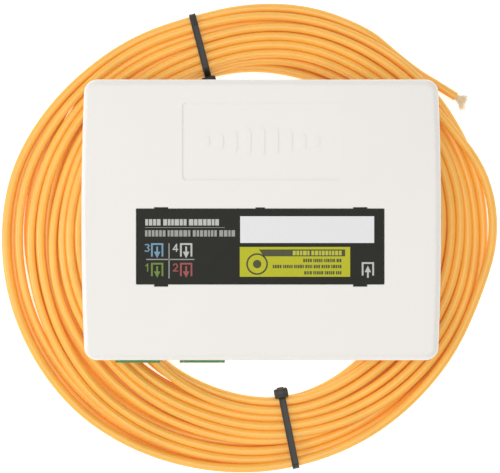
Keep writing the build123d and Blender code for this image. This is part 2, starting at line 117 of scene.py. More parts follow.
# ---- cable: its coil ----
# The coil runs clockwise, seen from above. Angles are in degrees about its centre. Each
# turn has its distance from the centre and its layer at every 30 degrees, and the turns
# stand in the order they were laid: the under turns first, then these.
KNOT_START = 135
KNOT_STEP = 30
KNOT_ANGLES = [KNOT_START - KNOT_STEP * i for i in range(12)]
COIL_END = 60
STEP = 15
STATIONS = 360 // STEP
UNDER_TURNS = 7
UNDER_INNER = [83.0, 83.6, 83.8, 84.0, 84.0, 83.6, 83.4, 83.6, 83.0, 83.0, 84.0, 84.0]
UNDER_OUTER = [116.8, 113.2, 117.5, 118.5, 118.0, 117.8, 116.2, 116.2, 118.0, 121.0, 121.5, 121.0]
UNDER_SHIFTS = {5: [0.5, 0, 0, 0, 0, 0, 0, 0, 0, -2.0, -3.5, -0.8]}
SEEN_WIDE = 1.007  # the turns lie this much wider than they look from above
UPPER_TURNS = [
    (
        [112.5, 109.5, 114.5, 115.0, 112.0, 112.5, 112.5, 112.5, 114.0, 116.4, 117.8, 117.0],
        [1, 1, 1, 0.8, 0.4, 0.4, 0.6, 1, 1, 1, 1, 1.2],
    ),
    (
        [111.7, 108.7, 112.6, 115.1, 116.4, 115.9, 112.5, 111.3, 110.7, 111.8, 110.2, 109.0],
        [1.6, 1.2, 2, 2, 1.3, 1.2, 1, 1, 1.6, 2, 2, 2],
    ),
    (
        [107.2, 105.2, 109.6, 112.5, 112.8, 112.2, 107.7, 101.0, 95.0, 92.6, 92.8, 91.0],
        [2, 1.2, 1, 1, 2, 2, 2, 2, 2, 2, 2, 2],
    ),
    (
        [92.5, 94.6, 101.9, 106.0, 107.9, 103.6, 97.7, 92.0, 86.2, 85.6, 85.0, 84.5],
        [2, 2, 2, 2, 2, 2, 2, 2, 1.6, 1, 1, 1.5],
    ),
    (
        [85.3, 86.3, 93.6, 96.5, 98.0, 93.5, 86.8, 84.1, 78.5, 75.0, 77.0, 82.0],
        [2, 2, 2, 2, 2, 2, 2, 2, 1, 0, 0.4, 1],
    ),
    (
        [84.0, 84.0, 85.2, 87.0, 88.5, 87.0, 84.5, 84.8, 84.6, 86.2, 84.8, 85.0],
        [1, 1, 1.6, 1.4, 1, 1, 1, 1, 1, 1, 1, 1],
    ),
    (
        [88.5, 91.0, 95.2, 99.0, 102.0, 103.0, 103.5, 102.8, 99.4, 98.8, 99.4, 96.6],
        [1, 1, 1, 1, 1, 1, 1, 1.2, 2, 2, 2, 2],
    ),
    (
        [97.0, 97.4, 104.3, 108.0, 110.2, 107.8, 102.6, 96.2, 89.7, 87.6, 87.3, 86.4],
        [2, 1.2, 1, 1, 1.3, 2, 2, 2, 2, 2, 2, 2],
    ),
    (
        [88.0, 90.3, 98.0, 101.5, 103.0, 99.3, 91.7, 88.1, 82.0, 76.0, 79.5, 84.0],
        [2, 2, 2, 2, 2, 2, 2, 2, 2, 2, 1.4, 1.6],
    ),
    (
        [84.2, 85.0, 89.5, 91.5, 92.5, 89.5, 83.4, 84.0, 80.0, 76.5, 79.0, 84.0],
        [1.6, 2, 2, 2, 1.6, 1.2, 1.2, 1, 1, 1, 1, 1],
    ),
    (
        [91.5, 95.0, 99.8, 103.5, 106.5, 108.0, 109.5, 106.7, 106.4, 107.5, 105.0, 104.4],
        [1, 1, 1, 1, 1, 1, 1.3, 2, 2, 2, 2, 2],
    ),
    (
        [102.3, 99.7, 106.9, 110.3, 120.8, 115.9, 113.8, 113.8, 116.3, 121.0, 121.9, 121.2],
        [2, 2, 2, 2, 2, 2, 2, 2, 2, 1.6, 1.6, 2],
    ),
    ([114.5, 110.9, 116.6, 118.0], [2, 2, 1.6, 0]),
]
# the last whole turn swells out on the right, between its knots
SWELL = {30: 112.6, 0: 121.4}
LAYER_RISE = 3.9
INNER_SLACK = 1.6
LEAST_LAP = 0.3  # how far neighbours overlap, seen from above
GAP_REACH = 8.0  # a turn this near to a gap moves towards it
# (from, to, nearest, farthest) where the ground shows between the turns
OPEN_SPOTS = [(190, 210, 110, 120), (216, 250, 76, 90), (0, 14, 116, 122)]

# how the coil settles
ROUNDS = 500
GAP_ROUND = 100  # gaps are closed after this round
SETTLED = 0.85  # share of the rounds after which only overlaps are pushed apart
START_SHARE, GROW_ROUNDS = 0.5, 300  # the cable starts thin and swells to its size
UPPER_LEVEL, LOOSE_LEVEL = 1.3, 0.6  # layers above and below these are held, or loose
UPPER_HOLD, LOWER_HOLD, UNDER_HOLD = 0.12, 0.05, 0.01  # pull back to the wanted lane
PUSH = 0.4
SMOOTHING = 0.2
WEIGHT = 0.04
JITTER = 0.2
LOOSE_PULL, LAID_PULL = 0.5, 0.03  # how much of a gap a turn closes in a round

TIE_ANGLES = {"cable_tie_upper": 104.5, "cable_tie_lower": -78.6}
TIE_REACH = 12.0  # degrees each side over which a tie draws the turns together
STRAP_WIDE, STRAP_THICK = 3.4, 1.1
STRAP_EDGE, STRAP_DIP, STRAP_CLEAR = 0.28, 0.12, 0.06  # edge round, dip between, off the cable
STRAP_SECTIONS = 120
HEAD_WIDE, HEAD_LONG, HEAD_TALL = 7.0, 4.7, 4.4
HEAD_EDGE, HEAD_SINK, HEAD_OVERLAP = 0.9, 0.1, 0.3
PAWL_IN = (2.2, 2.6)  # how much smaller than the head the pawl is, along and across
PAWL_RISE, PAWL_EDGE = 0.3, 0.3
TAIL_LONG, TAIL_DROP, TAIL_EDGE = 1.2, 0.4, 0.2
TIE_CREASE = 30  # degrees


def ellipse_r(radii, angle):
    """Distance from the coil's centre to an ellipse, at an angle in radians."""
    return 1 / np.sqrt((np.cos(angle) / radii[0]) ** 2 + (np.sin(angle) / radii[1]) ** 2)


def under_turn(number):
    """A turn on the ground, at a steady share of the way from the inner to the outer edge."""
    share = number / (UNDER_TURNS - 1)
    shifts = UNDER_SHIFTS.get(number, [0] * len(KNOT_ANGLES))
    turn = []
    for inner, outer, shift in zip(UNDER_INNER, UNDER_OUTER, shifts):
        turn.append(inner + CABLE_R + (outer - inner - 2 * CABLE_R) * share + shift)
    return turn


def knots_of_coil():
    """(way round, distance, layer) at every knot, from the lead to the free end."""
    turns = [(under_turn(i), [0] * len(KNOT_ANGLES)) for i in range(UNDER_TURNS)]
    turns += UPPER_TURNS
    knots = []
    for count, (radii, levels) in enumerate(turns):
        for i, (radius, level) in enumerate(zip(radii, levels)):
            knots.append((360 * count - KNOT_START + KNOT_STEP * i, radius * SEEN_WIDE, level))
    swollen = len(turns) - 2
    knots += [(360 * swollen - angle, radius * SEEN_WIDE, 2) for angle, radius in SWELL.items()]
    return len(turns) - 1, np.array(sorted(knots), float).T


def smooth(values, share):
    """Moves each value this share of the way to its neighbours' mean."""
    values[1:-1] += share * ((values[:-2] + values[2:]) / 2 - values[1:-1])


def settle_coil():
    """The coil's control points. The turns start at their knots and are pushed apart,
    pulled down by their weight and kept smooth, until no two lie in each other."""
    whole_turns, (way, knot_radii, knot_levels) = knots_of_coil()
    count = whole_turns * STATIONS + (KNOT_START - COIL_END) // STEP + 1
    degrees = KNOT_START - STEP * np.arange(count)
    angles = np.radians(degrees)
    wanted = np.interp(-degrees, way, knot_radii)
    level = np.interp(-degrees, way, knot_levels)
    smooth(level, 0.5)

    squeeze = np.zeros(count)
    for tie in TIE_ANGLES.values():
        off = (degrees - tie + 180) % 360 - 180
        squeeze += np.exp(-((off / TIE_REACH) ** 2))
    lowest = LYING_Z + STRAP_THICK * squeeze
    highest = COIL_TOP_Z - CABLE_R - STRAP_THICK * squeeze
    innermost = np.minimum(wanted, ellipse_r(COIL_INNER, angles) + CABLE_R + INNER_SLACK)
    outermost = wanted.copy()
    for first in range(STATIONS):
        outermost[first::STATIONS] = wanted[first::STATIONS].max()

    place = np.stack([wanted, LYING_Z + level * LAYER_RISE], 1)
    place += np.random.default_rng(1).uniform(-JITTER, JITTER, place.shape)
    hold = np.where(level > UPPER_LEVEL, UPPER_HOLD, LOWER_HOLD)
    hold[: UNDER_TURNS * STATIONS] = UNDER_HOLD
    for step in range(ROUNDS):
        size = 2 * CABLE_R * min(1.0, START_SHARE + step / GROW_ROUNDS)
        settling = step < SETTLED * ROUNDS
        for first in range(STATIONS):
            station = slice(first, None, STATIONS)
            push_apart(place, station, size)
            if step > GAP_ROUND:
                close_gaps(place, station, degrees[first], level[station] < LOOSE_LEVEL)
        off_lane = place[:, 0] - wanted
        smooth(off_lane, SMOOTHING)
        place[:, 0] = wanted + off_lane * (1 - hold * settling)
        smooth(place[:, 1], SMOOTHING)
        place[:, 1] -= WEIGHT * settling
        place[:, 0] = np.clip(place[:, 0], innermost, outermost)
        place[:, 1] = np.clip(place[:, 1], lowest, highest)

    # a quadratic spline runs inside its control points by this much
    reach = place[:, 0] / math.cos(math.radians(STEP / 2))
    x = COIL_CENTRE[0] + reach * np.cos(angles)
    y = COIL_CENTRE[1] + reach * np.sin(angles)
    return list(zip(x, y, place[:, 1]))


def push_apart(place, station, size):
    """Moves the turns that cross one station away from each other."""
    here = place[station]
    apart = here[:, None] - here[None]
    distance = np.sqrt((apart**2).sum(2)) + 1e-9
    overlap = np.clip(size - distance, 0, None)
    np.fill_diagonal(overlap, 0)
    place[station] = here + PUSH * (apart / distance[..., None] * overlap[..., None]).sum(1)


def close_gaps(place, station, degree, loose):
    """Draws the loose turns at one station in under any gap the ground would show
    through, except where the coil does stand open."""
    here = place[station]
    order = np.argsort(here[:, 0])
    lane = here[order, 0]
    covered = np.maximum.accumulate(lane + CABLE_R)[:-1]
    gap = lane[1:] - CABLE_R - covered + LEAST_LAP
    for i in np.nonzero(gap > 0)[0]:
        middle = (lane[i + 1] - CABLE_R + covered[i]) / 2
        if stands_open(degree % 360, middle):
            continue
        off = middle - here[:, 0]
        near = np.abs(off) < GAP_REACH
        here[:, 0] += np.sign(off) * near * gap[i] * np.where(loose, LOOSE_PULL, LAID_PULL)


def stands_open(degree, distance):
    """Whether the coil has one of its real openings here."""
    spots = [(a <= degree <= b, low <= distance <= high) for a, b, low, high in OPEN_SPOTS]
    return any(beside and within for beside, within in spots)


def make_curve(name, points, radius):
    """A smooth round cord along its control points. Its thickness is in the points' own
    radius, because Blender's box round a curve reaches that far past its points."""
    data = bpy.data.curves.new(name, "CURVE")
    data.dimensions = "3D"
    data.resolution_u = CORD_STEPS
    data.bevel_depth = 1.0
    data.bevel_resolution = CORD_SIDES
    data.use_fill_caps = True
    spline = data.splines.new("NURBS")
    spline.points.add(len(points) - 1)
    for point, (x, y, z) in zip(spline.points, points):
        point.co = (x * MM, y * MM, z * MM, 1.0)
        point.radius = radius * MM
    spline.order_u = 3
    spline.use_endpoint_u = True
    cord = bpy.data.objects.new(name, data)
    bpy.context.scene.collection.objects.link(cord)
    return cord


def line_of(cord):
    """Points along a cord's own line, in millimetres."""
    bare = cord.copy()
    bare.data = cord.data.copy()
    bare.data.bevel_depth = 0.0
    mesh = bpy.data.meshes.new_from_object(bare)
    line = np.array([v.co for v in mesh.vertices], float) / MM
    bpy.data.objects.remove(bare)
    bpy.data.meshes.remove(mesh)
    return line


coil_points = settle_coil()
cable = make_curve("fibre_cable", LEAD_ROUTE + coil_points + END_ROUTE, CABLE_R)
cable_line = line_of(cable)
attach(cable, "housing")
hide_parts("cable_lead", "cable_coil", "cable_free_end")


# ---- mesh helpers ----
def add_mesh(name, body, build, smooth_faces=True):
    """A new piece on a body, whose mesh is made by build(bm) in millimetres."""
    bm = bmesh.new()
    build(bm)
    bmesh.ops.scale(bm, vec=(MM, MM, MM), verts=bm.verts)
    bmesh.ops.recalc_face_normals(bm, faces=bm.faces)
    mesh = bpy.data.meshes.new(name)
    bm.to_mesh(mesh)
    bm.free()
    mesh.polygons.foreach_set("use_smooth", [smooth_faces] * len(mesh.polygons))
    piece = bpy.data.objects.new(name, mesh)
    bpy.context.scene.collection.objects.link(piece)
    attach(piece, body)
    return piece


def add_block(bm, matrix, size, bevel, segments=2):
    """A box of this size about the matrix's origin, with rounded edges."""
    made = bmesh.ops.create_cube(bm, size=1.0)["verts"]
    bmesh.ops.scale(bm, vec=size, verts=made)
    edges = list({e for v in made for e in v.link_edges})
    rounded = bmesh.ops.bevel(
        bm, geom=edges, offset=bevel, segments=segments, affect="EDGES", profile=0.5
    )
    made = {v for f in rounded["faces"] for v in f.verts} | {v for v in made if v.is_valid}
    bmesh.ops.transform(bm, matrix=matrix, verts=list(made))


# ---- cable ties ----
def crossings(line, angle):
    """Where the cable crosses the half plane at an angle, as (distance, height)."""
    out = np.array([math.cos(angle), math.sin(angle)])
    side = np.array([-math.sin(angle), math.cos(angle)])
    flat = line[:, :2] - np.array(COIL_CENTRE)
    across, reach = flat @ side, flat @ out
    found = []
    height = line[:, 2]
    for i in np.nonzero((across[:-1] * across[1:] <= 0) & (reach[:-1] > WITHIN_COIL))[0]:
        t = across[i] / (across[i] - across[i + 1] + 1e-12)
        found.append([v[i] + t * (v[i + 1] - v[i]) for v in (reach, height)])
    return np.array(found)


def tie_matrix(angle, reach, height):
    """Local X out from the coil's centre, Y along the cable and Z up."""
    out = Vector((math.cos(angle), math.sin(angle), 0))
    along = Vector((-math.sin(angle), math.cos(angle), 0))
    turn = Matrix((out, along, Vector((0, 0, 1)))).transposed().to_4x4()
    place = Vector((*COIL_CENTRE, 0)) + out * reach + Vector((0, 0, height))
    return Matrix.Translation(place) @ turn


def build_tie(bm, angle):
    """One tie: its strap round all the strands, its head, pawl and cut tail."""
    strands = crossings(cable_line, angle)
    head_z = COIL_TOP_Z - HEAD_SINK - HEAD_TALL / 2
    inner = strands[:, 0].min() - CABLE_R
    base = tie_matrix(angle, 0, 0)

    # strap: the same section carried round the hull of the strands
    half, edge = STRAP_WIDE / 2, STRAP_EDGE
    skin = CABLE_R + STRAP_CLEAR
    outside = skin + STRAP_THICK
    section = [
        (-half, skin),
        (-half, outside - edge),
        (-half + edge, outside),
        (-half + 3 * edge, outside - STRAP_DIP),
        (half - 3 * edge, outside - STRAP_DIP),
        (half - edge, outside),
        (half, outside - edge),
        (half, skin),
    ]
    rings = []
    for i in range(STRAP_SECTIONS):
        facing = math.tau * i / STRAP_SECTIONS
        normal = np.array([math.cos(facing), math.sin(facing)])
        pick = strands[np.argmax(strands @ normal)]
        ring = []
        for along, out in section:
            reach, height = pick + normal * out
            ring.append(bm.verts.new(base @ Vector((reach, along, height))))
        rings.append(ring)
    for i, ring in enumerate(rings):
        after = rings[(i + 1) % STRAP_SECTIONS]
        for j in range(len(section)):
            k = (j + 1) % len(section)
            bm.faces.new((ring[j], ring[k], after[k], after[j]))

    # head: its block, the pawl that stands out of it, and the cut tail of the strap
    middle = inner + HEAD_OVERLAP - HEAD_LONG / 2
    head = (HEAD_LONG, HEAD_WIDE, HEAD_TALL)
    pawl = (HEAD_LONG - PAWL_IN[0], HEAD_WIDE - PAWL_IN[1], HEAD_TALL)
    tail = (TAIL_LONG, STRAP_WIDE, STRAP_THICK)
    add_block(bm, tie_matrix(angle, middle, head_z), head, HEAD_EDGE, 3)
    add_block(bm, tie_matrix(angle, middle - PAWL_RISE, head_z + PAWL_RISE), pawl, PAWL_EDGE)
    add_block(bm, tie_matrix(angle, middle - HEAD_LONG / 2, head_z - TAIL_DROP), tail, TAIL_EDGE)


ties = []
for name, degrees in TIE_ANGLES.items():
    angle = math.radians(degrees)
    tie = add_mesh("tie_" + name[-5:], "housing", lambda bm: build_tie(bm, angle))
    tie.data.set_sharp_from_angle(angle=math.radians(TIE_CREASE))
    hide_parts(name)
    ties.append(tie)

# ---- frayed yarn ----
YARN_STRANDS = 260
YARN_R = 0.1
YARN_BUNDLE_R = 1.45
YARN_SHORT = 5.0
YARN_HORNS = (4.4, 2.8)  # how much longer the threads are at each side of the fan
YARN_FAN = (-64.0, -2.0)  # degrees from +X
YARN_STRAY = 5.0  # degrees
YARN_CURL = (0.5, 0.5, 0.25)
YARN_WHOLE = 0.8  # share of the threads that aren't torn short
YARN_STEPS = 6
YARN_IN_JACKET = 0.4


def build_yarn(bm):
    """Threads that leave the cut together and fan out to two points."""
    draw = random.Random(7)
    cut = Vector(END_ROUTE[-1])
    heading = (cut - Vector(END_ROUTE[-2])).normalized()
    across = heading.cross(Vector((0, 0, 1)))
    for _ in range(YARN_STRANDS):
        turn = draw.uniform(0, math.tau)
        off = YARN_BUNDLE_R * math.sqrt(draw.random())
        root = cut + across * off * math.cos(turn) + Vector((0, 0, off * math.sin(turn)))
        share = draw.random()
        spread = YARN_FAN[0] + (YARN_FAN[1] - YARN_FAN[0]) * share
        fan = math.radians(spread + draw.gauss(0, YARN_STRAY))
        horn = YARN_HORNS[0] if share < 0.5 else YARN_HORNS[1]
        longest = YARN_SHORT + horn * abs(2 * share - 1)
        if draw.random() < YARN_WHOLE:
            length = draw.uniform(0.8, 1.0) * longest
        else:
            length = draw.uniform(2.0, longest)
        away = Vector((math.cos(fan), math.sin(fan), draw.gauss(-0.05, 0.12))).normalized()
        curl = Vector([draw.gauss(0, amount) for amount in YARN_CURL])
        line = []
        for i in range(YARN_STEPS + 1):
            t = i / YARN_STEPS
            bend = heading.lerp(away, min(1.0, 1.6 * t))
            line.append(root - heading * YARN_IN_JACKET + bend * length * t + curl * t * t)
        line = [Vector((p.x, p.y, max(p.z, GROUND_Z + 1.5 * YARN_R))) for p in line]
        add_thread(bm, line, YARN_R)


def add_thread(bm, line, radius, sides=4):
    """A thin tube along a short line, closed at both ends."""
    rings = []
    for i, point in enumerate(line):
        ahead = line[min(i + 1, len(line) - 1)] - line[max(i - 1, 0)]
        side = ahead.cross(Vector((0.13, 0.07, 1))).normalized()
        up = side.cross(ahead).normalized()
        thin = radius * (1 - 0.5 * i / (len(line) - 1))
        ring = []
        for k in range(sides):
            turn = math.tau * k / sides
            spoke = side * math.cos(turn) + up * math.sin(turn)
            ring.append(bm.verts.new(point + spoke * thin))
        rings.append(ring)
    for before, after in zip(rings, rings[1:]):
        for k in range(sides):
            m = (k + 1) % sides
            bm.faces.new((before[k], before[m], after[m], after[k]))
    bm.faces.new(rings[0][::-1])
    bm.faces.new(rings[-1])


yarn = add_mesh("strength_yarn", "housing", build_yarn)
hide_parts("frayed_yarn")


# ---- label prints ----
# All of them are made-up marks. Positions are from the label plate's middle.
plate = corners("label_plate")
LABEL_MIDDLE = ((plate[0].x + plate[1].x) / 2, (plate[0].y + plate[1].y) / 2)
PLATE_Z = plate[1].z
PANEL_Z = corners("notice_panel")[1].z
INK = 0.03
INK_SUNK = 0.02
INK_STEP = 0.004  # each run of a stroke stands this much above the last

BOLD_WORDS = [(-55.1, -47.8), (-46.5, -35.3), (-34.2, -19.8)]
BOLD_ROW = (10.3, 13.3)
LIGHT_WORDS = [(-55.2, -45.4), (-44.4, -33.5), (-32.3, -20.8), (-19.6, -12.1)]
LIGHT_ROW = (5.0, 8.0)
RULE = (-55.2, -17.0, 9.3)
NOTICE_HEADER = (-0.6, 40.7, -4.5, -1.2)
NOTICE_SLANT = 2.2
NOTICE_TITLE = [(15.6, 23.6), (24.5, 39.0)]
NOTICE_TITLE_ROW = (-4.0, -1.8)
NOTICE_RIGHT = 38.9
NOTICE_LINES = [(-7.3, -5.7, 20.6), (-10.2, -8.6, 6.0), (-13.2, -11.6, 21.1)]
RING_MIDDLE = (-1.5, -8.2)
RING_R = (4.4, 5.2)
DOT_R = 2.0

BOLD_BLOCKS = (2.0, 0.38)  # pitch and gap
LIGHT_BLOCKS = (1.75, 0.45)
TITLE_BLOCKS = (1.6, 0.35)
SMALL_BLOCKS = (0.95, 0.28)
RULE_LINE = 0.2
RING_SIDES = 48

SPAN_LONG = (3.0, 5.5)  # made-up words on the notice
SPAN_LEAST, SPAN_GAP = 1.5, 0.7

BRACKET_WIDE, BRACKET_TALL, BRACKET_LINE = 5.9, 6.4, 0.85
ARROW_OUT = (7.2, 1.6)  # tip and tail of the arrow, below the bracket's top
ARROW_IN = (1.7, 7.5)
ARROW_HEAD_WIDE, ARROW_HEAD_LONG, ARROW_SHAFT = 3.1, 3.1, 0.84
KEY_COLUMNS = (-49.4, -35.5)
KEY_ROWS = (1.8, -7.6)
DIGIT_XS = (-55.1, -41.7)
DIGIT_SIZE = (2.1, 3.3)
DIGIT_DROP = 0.6
DIGIT_LINE = 0.55
CROSS_LINE = 0.5
CROSS_ACROSS = (-54.6, -31.6, -6.0)
CROSS_DOWN = (-43.7, -15.1, 1.7)
INPUT_MARK = (51.6, -7.3)

# strokes of the four port numbers in a unit square
DIGITS = {
    1: [[(0.15, 0.76), (0.55, 1), (0.55, 0)]],
    2: [[(0.05, 0.82), (0.3, 1), (0.75, 1), (0.95, 0.75), (0.85, 0.5), (0.05, 0), (1, 0)]],
    3: [[(0.05, 0.95), (0.6, 1), (0.92, 0.78), (0.5, 0.54), (0.95, 0.25), (0.6, 0), (0, 0.05)]],
    4: [[(0.75, 0), (0.75, 1), (0, 0.28), (1, 0.28)]],
}


def add_outline(bm, points, level, thick=INK):
    """A flat printed shape with this outline, its top at level + thick."""
    x, y = LABEL_MIDDLE
    low = [bm.verts.new((x + px, y + py, level - INK_SUNK)) for px, py in points]
    high = [bm.verts.new((x + px, y + py, level + thick)) for px, py in points]
    bm.faces.new(low[::-1])
    bm.faces.new(high)
    for i in range(len(points)):
        k = (i + 1) % len(points)
        bm.faces.new((low[i], low[k], high[k], high[i]))


def add_bar(bm, x0, x1, y0, y1, level, thick=INK):
    """A printed rectangle."""
    add_outline(bm, [(x0, y0), (x1, y0), (x1, y1), (x0, y1)], level, thick)


def add_stroke(bm, line, width, level):
    """A printed line, each run a little above the last so that no two tops meet."""
    for i, ((x0, y0), (x1, y1)) in enumerate(zip(line, line[1:])):
        long = math.hypot(x1 - x0, y1 - y0)
        ux, uy = (x1 - x0) / long * width / 2, (y1 - y0) / long * width / 2
        ends = [
            (x0 - ux + uy, y0 - uy - ux),
            (x1 + ux + uy, y1 + uy - ux),
            (x1 + ux - uy, y1 + uy + ux),
            (x0 - ux - uy, y0 - uy + ux),
        ]
        add_outline(bm, ends, level, INK + INK_STEP * i)


def add_words(bm, spans, row, blocks, level, seed, thick=INK):
    """Rows of small blocks where a real label has words."""
    draw = random.Random(seed)
    pitch, gap = blocks
    for x0, x1 in spans:
        count = max(1, round((x1 - x0) / pitch))
        widths = [draw.uniform(0.75, 1.25) for _ in range(count)]
        step = (x1 - x0 + gap) / sum(widths)
        at = x0
        for width in widths:
            add_bar(bm, at, at + width * step - gap, *row, level, thick)
            at += width * step


def broken_line(left, right, seed):
    """Word spans that fill a line from left to right."""
    draw = random.Random(seed)
    spans, at = [], left
    while at < right - SPAN_LEAST:
        end = min(right, at + draw.uniform(*SPAN_LONG))
        if right - end < SPAN_LEAST:
            end = right
        spans.append((at, end))
        at = end + SPAN_GAP
    return spans


def add_bracket(bm, middle, top, arrow=ARROW_OUT):
    """A socket with an arrow that points out of it or into it."""
    half, line = BRACKET_WIDE / 2, BRACKET_LINE
    add_bar(bm, middle - half, middle + half, top - line, top, PLATE_Z)
    for side in (-1, 1):
        edge = middle + side * half
        inner = edge - side * line
        add_bar(bm, min(edge, inner), max(edge, inner), top - BRACKET_TALL, top - line, PLATE_Z)
    tip, tail = (top - end for end in arrow)
    root = tip + math.copysign(ARROW_HEAD_LONG, tail - tip)
    shaft, head = ARROW_SHAFT / 2, ARROW_HEAD_WIDE / 2
    add_bar(bm, middle - shaft, middle + shaft, min(root, tail), max(root, tail), PLATE_Z)
    add_outline(bm, [(middle - head, root), (middle + head, root), (middle, tip)], PLATE_Z)


def add_key(bm, number, column, row):
    """A port's number beside its socket mark."""
    x0, y1 = DIGIT_XS[column], KEY_ROWS[row] - DIGIT_DROP
    wide, tall = DIGIT_SIZE
    for line in DIGITS[number]:
        placed = [(x0 + x * wide, y1 - tall + y * tall) for x, y in line]
        add_stroke(bm, placed, DIGIT_LINE, PLATE_Z)
    add_bracket(bm, KEY_COLUMNS[column], KEY_ROWS[row])


def build_white_print(bm):
    """The first row of words, the fourth port's key and the cable's socket mark."""
    add_words(bm, BOLD_WORDS, BOLD_ROW, BOLD_BLOCKS, PLATE_Z, 3)
    add_key(bm, 4, 1, 0)
    add_bracket(bm, *INPUT_MARK, ARROW_IN)


def build_grey_print(bm):
    """The second row of words, the rule above it and the cross through the port key."""
    add_words(bm, LIGHT_WORDS, LIGHT_ROW, LIGHT_BLOCKS, PLATE_Z, 5)
    for (left, right, y), line in ((RULE, RULE_LINE), (CROSS_ACROSS, CROSS_LINE)):
        add_bar(bm, left, right, y - line / 2, y + line / 2, PLATE_Z)
    x, low, high = CROSS_DOWN
    add_bar(bm, x - CROSS_LINE / 2, x + CROSS_LINE / 2, low, high, PLATE_Z)


def build_dark_print(bm):
    """The notice's header bar, its lines of small print, and its ring and dot."""
    left, right, low, high = NOTICE_HEADER
    header = [(left + NOTICE_SLANT, low), (right, low), (right, high), (left, high)]
    add_outline(bm, header, PANEL_Z)
    for i, (low, high, left) in enumerate(NOTICE_LINES):
        spans = broken_line(left, NOTICE_RIGHT, 11 + i)
        add_words(bm, spans, (low, high), SMALL_BLOCKS, PANEL_Z, 20 + i)
    turns = [math.tau * i / RING_SIDES for i in range(RING_SIDES)]
    x, y = RING_MIDDLE
    for i, turn in enumerate(turns):
        after = turns[(i + 1) % RING_SIDES]
        ring = [(RING_R[0], turn), (RING_R[1], turn), (RING_R[1], after), (RING_R[0], after)]
        add_outline(bm, [(x + r * math.cos(a), y + r * math.sin(a)) for r, a in ring], PANEL_Z)
    add_outline(bm, [(x + DOT_R * math.cos(a), y + DOT_R * math.sin(a)) for a in turns], PANEL_Z)


def build_yellow_print(bm):
    """The title on the notice's header bar."""
    add_words(bm, NOTICE_TITLE, NOTICE_TITLE_ROW, TITLE_BLOCKS, PANEL_Z, 9, 2 * INK)


# material slot, ink colour and what is printed
PRINTS = {
    "print_white": ("paper_white", (0.53, 0.53, 0.515), build_white_print),
    "print_grey": ("paper_white", (0.34, 0.34, 0.325), build_grey_print),
    "print_dark": ("label", (0.06, 0.058, 0.013), build_dark_print),
    "print_yellow": ("label_yellow", (0.52, 0.52, 0.03), build_yellow_print),
    "print_green": ("fibre_1", (0.15, 0.235, 0.03), lambda bm: add_key(bm, 1, 0, 1)),
    "print_red": ("fibre_2", (0.34, 0.068, 0.062), lambda bm: add_key(bm, 2, 1, 1)),
    "print_blue": ("fibre_3", (0.165, 0.315, 0.44), lambda bm: add_key(bm, 3, 0, 0)),
}
prints = {}
for name, (slot, color, build) in PRINTS.items():
    prints[name] = add_mesh(name, "label", build, smooth_faces=False)


# ---- materials ----
NOISE_ROUGHNESS = 0.55
RAMP_SPAN = (0.3, 0.7)


def new_material(name, color, roughness, ior=1.5, metallic=0.0):
    """A plain material and its shader."""
    made = bpy.data.materials.new(name)
    made.use_nodes = True
    shader = made.node_tree.nodes["Principled BSDF"]
    shader.inputs["Base Color"].default_value = (*color, 1)
    shader.inputs["Roughness"].default_value = roughness
    shader.inputs["IOR"].default_value = ior
    shader.inputs["Metallic"].default_value = metallic
    return made, shader


def noise_of(made, scale, detail, stretch=(1, 1, 1)):
    """Noise fixed to the piece; scale is features per millimetre."""
    tree = made.node_tree
    where = tree.nodes.new("ShaderNodeTexCoord")
    shape = tree.nodes.new("ShaderNodeMapping")
    shape.inputs["Scale"].default_value = [s / MM for s in stretch]
    noise = tree.nodes.new("ShaderNodeTexNoise")
    noise.inputs["Scale"].default_value = scale
    noise.inputs["Detail"].default_value = detail
    noise.inputs["Roughness"].default_value = NOISE_ROUGHNESS
    tree.links.new(where.outputs["Object"], shape.inputs["Vector"])
    tree.links.new(shape.outputs["Vector"], noise.inputs["Vector"])
    return noise.outputs["Fac"]


def spread_color(made, shader, fac, low, high):
    """Base colour between two colours by a factor."""
    ramp = made.node_tree.nodes.new("ShaderNodeValToRGB")
    for end, position, color in zip(ramp.color_ramp.elements, RAMP_SPAN, (low, high)):
        end.position = position
        end.color = (*color, 1)
    made.node_tree.links.new(fac, ramp.inputs["Fac"])
    made.node_tree.links.new(ramp.outputs["Color"], shader.inputs["Base Color"])


def spread_roughness(made, shader, fac, low, high):
    """Roughness between two values by a factor."""
    spread = made.node_tree.nodes.new("ShaderNodeMapRange")
    spread.inputs["To Min"].default_value = low
    spread.inputs["To Max"].default_value = high
    made.node_tree.links.new(fac, spread.inputs["Value"])
    made.node_tree.links.new(spread.outputs["Result"], shader.inputs["Roughness"])


def bump(made, shader, fac, depth):
    """Relief of this depth in millimetres."""
    relief = made.node_tree.nodes.new("ShaderNodeBump")
    relief.inputs["Strength"].default_value = 1.0
    relief.inputs["Distance"].default_value = depth * MM
    made.node_tree.links.new(fac, relief.inputs["Height"])
    made.node_tree.links.new(relief.outputs["Normal"], shader.inputs["Normal"])


def tinted(color, factor):
    """A colour made darker or lighter by a factor."""
    return [min(1.0, c * factor) for c in color]


def moulded(name, color, roughness, variation=0.03):
    """Injection-moulded plastic: fine mould grain, faint flow marks and handling shine."""
    made, shader = new_material(name, color, roughness)
    flow = noise_of(made, 0.02, 3.0)
    spread_color(made, shader, flow, tinted(color, 1 - variation), tinted(color, 1 + variation / 2))
    spread_roughness(made, shader, noise_of(made, 0.12, 5.0), roughness - 0.05, roughness + 0.05)
    bump(made, shader, noise_of(made, 4.0, 2.0), 0.012)
    return made


